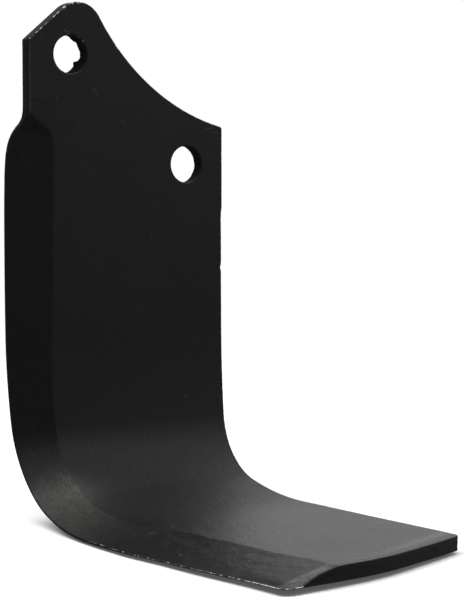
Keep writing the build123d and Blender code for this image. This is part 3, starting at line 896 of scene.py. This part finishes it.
# -- single scuffs and crumbs, each at its own place on the strip
marks = None
for mx, mw, rx, rw, deg, amount in (
        (9.3, 11.9, 0.28, 1.2, 35, 0.50), (10.2, 12.9, 0.25, 0.9, -30, 0.42), (15.1, 13.8, 0.9, 0.22, 10, 0.34),
        (-5.4, 15.0, 0.22, 1.1, -20, 0.36), (-2.0, -8.0, 0.40, 0.28, -20, 0.75), (-0.8, -7.7, 0.8, 0.22, 15, 0.45),
        (3.4, -7.6, 0.35, 0.25, 40, 0.50), (-2.2, -15.0, 1.3, 0.28, 12, 0.40), (-11.2, -5.0, 0.30, 0.30, 0, 0.75),
        (58.0, 24.2, 2.0, 0.25, -8, 0.40), (60.3, 25.6, 1.4, 0.35, -10, 0.36), (21.8, 195.5, 0.45, 0.7, 0, 0.9),
        (-0.2, 203.4, 1.3, 0.35, 80, 0.60), (2.1, 199.5, 1.0, 0.25, 75, 0.45), (-16.2, 231.3, 0.5, 0.7, 0, 0.6),
        (18.3, -3.9, 0.42, 0.85, 35, 0.95), (19.4, -2.6, 0.34, 0.6, 35, 0.85),
        (12.2, 7.7, 0.25, 0.25, 0, 0.6), (21.1, 22.3, 1.2, 0.22, 30, 0.35), (33.0, 62.0, 0.3, 0.3, 0, 0.5),
        (2.9, 24.0, 0.20, 1.2, 35, 0.30), (47.0, 120.0, 0.3, 0.35, 0, 0.5), (28.5, 88.0, 0.22, 0.9, 20, 0.35)):
    m_ = n.new("ShaderNodeMapping", vector_type="TEXTURE")
    n.put(m_.inputs["Vector"], n.scale(P, (1.0, 1.0, 0.0)))
    m_.inputs["Location"].default_value = (mx, mw, 0.0)
    m_.inputs["Rotation"].default_value = (0.0, 0.0, math.radians(deg))
    m_.inputs["Scale"].default_value = (rx, rw, 1.0)
    ln_ = n.new("ShaderNodeVectorMath", operation="LENGTH")
    n.link(m_.outputs[0], ln_.inputs[0])
    one = n.ramp(ln_.outputs["Value"], 1.10, 0.60, 0.0, amount)
    marks = one if marks is None else n.math("MAXIMUM", marks, one)
marks = n.math("MULTIPLY", marks, n.ramp(chip_fine, 0.42, 0.53))
marks = n.math("MULTIPLY", marks, n.ramp(side, 0.4, 0.9))

paint = n.mix(cloud, (0.0036, 0.0036, 0.0037, 1), (0.0050, 0.0050, 0.0051, 1))
paint = n.mix(n.math("MULTIPLY", dust, 0.5), paint, (0.012, 0.012, 0.0115, 1))
paint = n.mix(n.math("MULTIPLY", speck, 0.55), paint, (0.10, 0.10, 0.095, 1))
weave = n.math("ADD", n.math("MULTIPLY", lines_fine, 0.35), n.math("ADD", n.math("MULTIPLY", grain, 0.35), n.math("MULTIPLY", lines, 0.30)))
# painted highlight in the bend: a lighter warm base colour laid over the rubbed paint
warm_buff_and_highlight = n.math("MULTIPLY", buff_and_highlight, n.math("ADD", 0.30, n.math("MULTIPLY", n.ramp(weave, 0.40, 0.60), 0.85)))
paint = n.mix(warm_buff_and_highlight, paint, (0.118, 0.1155, 0.110, 1))
paint = n.mix(n.math("MULTIPLY", swept, 0.55), paint, (0.050, 0.048, 0.046, 1))
# painted highlight on the rolled end, the corner band and the tang's front edge
paint = n.mix(n.math("MULTIPLY", painted_highlight, n.ramp(n.noise(P, 0.9, 3.0, 0.6), 0.30, 0.62, 0.35, 1.0)), paint, (0.080, 0.080, 0.077, 1))
paint = n.mix(marks, paint, (0.16, 0.158, 0.150, 1))
paint = n.mix(n.math("MULTIPLY", chips_soft, 0.5), paint, (0.06, 0.058, 0.052, 1))
cream = n.mix(chip_fine, (0.62, 0.58, 0.50, 1), (0.86, 0.84, 0.78, 1))
col = n.mix(chips, paint, cream)
n.link(col, sh.inputs["Base Color"])

rough_ = n.math("ADD", 0.385, n.math("MULTIPLY", cloud, 0.06))
rough_ = n.math("ADD", rough_, n.math("MULTIPLY", dust, 0.22))
rough_ = n.math("ADD", rough_, n.math("MULTIPLY", n.ramp(side, 0.4, 0.0), 0.09))
rough_ = n.math("ADD", rough_, n.math("MULTIPLY", chips, 0.25))
rough_ = n.math("ADD", rough_, n.math("MULTIPLY", warm_buff_and_highlight, 0.10))
rough_ = n.math("ADD", rough_, n.math("MULTIPLY", bent, 0.03))
rough_ = n.math("ADD", rough_, n.math("MULTIPLY", bore, 0.40))
n.link(rough_, sh.inputs["Roughness"])
sh.inputs["IOR"].default_value = 1.5
nrm = n.bump(n.math("MULTIPLY", n.math("ADD", chips, n.math("MULTIPLY", speck, -0.8)), -1.0), 0.00006, 0.8, nrm)
n.link(nrm, sh.inputs["Normal"])
mesh.materials.append(mat)

# =============================================================================
# Floor, light, camera
# =============================================================================
bpy.ops.mesh.primitive_circle_add(vertices=96, radius=1.4, fill_type="NGON",
                                  location=(0.02, -0.07, FLOOR_Z - 0.0006))
floor = bpy.context.object
floor.name = "floor"
floor.rotation_euler = (0.013, -0.009, 0.0)    # the blade stands on the heel of the foot, its end a little up
fm = bpy.data.materials.new("pale_floor")
fm.use_nodes = True
f = Net(fm.node_tree)
fo_ = f.new("ShaderNodeOutputMaterial")
pale = f.new("ShaderNodeBsdfDiffuse")
pale.inputs["Color"].default_value = (0.86, 0.86, 0.87, 1)
dim = f.new("ShaderNodeBsdfDiffuse")
dim.inputs["Color"].default_value = (0.10, 0.10, 0.101, 1)
lp = f.new("ShaderNodeLightPath")
pick_ = f.new("ShaderNodeMixShader")
f.link(lp.outputs["Is Camera Ray"], pick_.inputs[0])
f.link(dim.outputs[0], pick_.inputs[1])
# painted light: to the camera the floor glows a little, so its shadows stay open; no other ray sees the glow
shadow_lift_glow = f.new("ShaderNodeEmission")
shadow_lift_glow.inputs["Color"].default_value = (0.96, 0.98, 1.0, 1)
shadow_lift_glow.inputs["Strength"].default_value = 0.085
both = f.new("ShaderNodeAddShader")
f.link(pale.outputs[0], both.inputs[0])
f.link(shadow_lift_glow.outputs[0], both.inputs[1])
f.link(both.outputs[0], pick_.inputs[2])
tc = f.new("ShaderNodeTexCoord")
ln = f.new("ShaderNodeVectorMath", operation="LENGTH")
f.link(tc.outputs["Object"], ln.inputs[0])
fade = f.ramp(ln.outputs["Value"], 0.30, 0.62)
clear = f.new("ShaderNodeBsdfTransparent")
gate = f.math("MULTIPLY", fade, lp.outputs["Is Camera Ray"])
m2 = f.new("ShaderNodeMixShader")
f.link(gate, m2.inputs[0])
f.link(pick_.outputs[0], m2.inputs[1])
f.link(clear.outputs[0], m2.inputs[2])
f.link(m2.outputs[0], fo_.inputs[0])
floor.data.materials.append(fm)

world = bpy.data.worlds.new("studio")
scene.world = world
world.use_nodes = True
wn = Net(world.node_tree)
wo = wn.new("ShaderNodeOutputWorld")
tcw = wn.new("ShaderNodeTexCoord")
# the studio: soft boxes and reflectors as broad glows on dark walls, each with its
# azimuth (degrees from +Y towards +X), height above the horizon, strength and tightness
GLOWS = [(24, 2, 0.266, 8), (44, 2, 0.371, 8), (108, 0, 0.387, 8), (144, 0, 0.082, 8), (-100, 0, 0.100, 8),
         (34, 16, 0.286, 8), (58, 20, 0.222, 8), (145, 22, 0.280, 8), (50, 42, 0.219, 8), (75, 45, 0.590, 8),
         (100, 45, 0.104, 8), (-120, 45, 0.248, 8), (130, 68, 0.611, 8), (0, 90, 0.723, 8),
         (-128, 3, 0.80, 45), (-2, 1, 0.30, 60), (112, 50, 0.40, 25)]
lum = 0.0
for az_, el_, strength_, tight_ in GLOWS:
    a_, e_ = math.radians(az_), math.radians(el_)
    d_ = wn.new("ShaderNodeVectorMath", operation="DOT_PRODUCT")
    wn.link(tcw.outputs["Generated"], d_.inputs[0])
    d_.inputs[1].default_value = (math.sin(a_) * math.cos(e_), math.cos(a_) * math.cos(e_), math.sin(e_))
    glow = wn.math("EXPONENT", wn.math("MULTIPLY_ADD", d_.outputs["Value"], tight_, -tight_))
    lum = wn.math("MULTIPLY_ADD", glow, strength_, lum)
bg = wn.new("ShaderNodeBackground")
wn.link(lum, bg.inputs["Color"])
white = wn.new("ShaderNodeBackground")
white.inputs["Color"].default_value = (1, 1, 1, 1)
white.inputs["Strength"].default_value = 1.0
lpw = wn.new("ShaderNodeLightPath")
ms = wn.new("ShaderNodeMixShader")
wn.link(lpw.outputs["Is Camera Ray"], ms.inputs[0])
wn.link(bg.outputs[0], ms.inputs[1])
wn.link(white.outputs[0], ms.inputs[2])
wn.link(ms.outputs[0], wo.inputs[0])


def area(name, loc, target, size, power, colour=(1, 1, 1), gloss=False):
    ld = bpy.data.lights.new(name, "AREA")
    ld.shape = "RECTANGLE"
    ld.size, ld.size_y = size
    ld.energy = power
    ld.color = colour
    ob = bpy.data.objects.new(name, ld)
    bpy.context.collection.objects.link(ob)
    ob.location = loc
    d = (Vector(target) - Vector(loc)).normalized()
    ob.rotation_euler = d.to_track_quat("-Z", "Y").to_euler()
    ob.visible_glossy = gloss
    ob.visible_camera = False
    return ob


area("ceiling_soft", (-0.50, 0.12, 1.15), (0.02, -0.06, -0.15), (1.3, 1.3), 23.0)

cam_d = bpy.data.cameras.new("photo_camera")
cam_d.sensor_width = 36.0
cam_d.sensor_fit = "AUTO"
cam_d.lens = 1899.58 * 36.0 / 600.0
cam_d.clip_start, cam_d.clip_end = 0.02, 20.0
cam = bpy.data.objects.new("photo_camera", cam_d)
bpy.context.collection.objects.link(cam)
yaw, pitch = math.radians(36.223), math.radians(3.47)
fwd = Vector((math.sin(yaw) * math.cos(pitch), math.cos(yaw) * math.cos(pitch), -math.sin(pitch)))
right = Vector((math.cos(yaw), -math.sin(yaw), 0.0))
upv = right.cross(fwd)
rot = Matrix((right, upv, -fwd)).transposed().to_4x4()
cam.matrix_world = Matrix.Translation((-0.34017, -0.56244, -0.04437)) @ rot
scene.camera = cam

scene.view_settings.view_transform = "Standard"
scene.view_settings.look = "None"
scene.view_settings.exposure = 0.0
scene.view_settings.gamma = 1.0
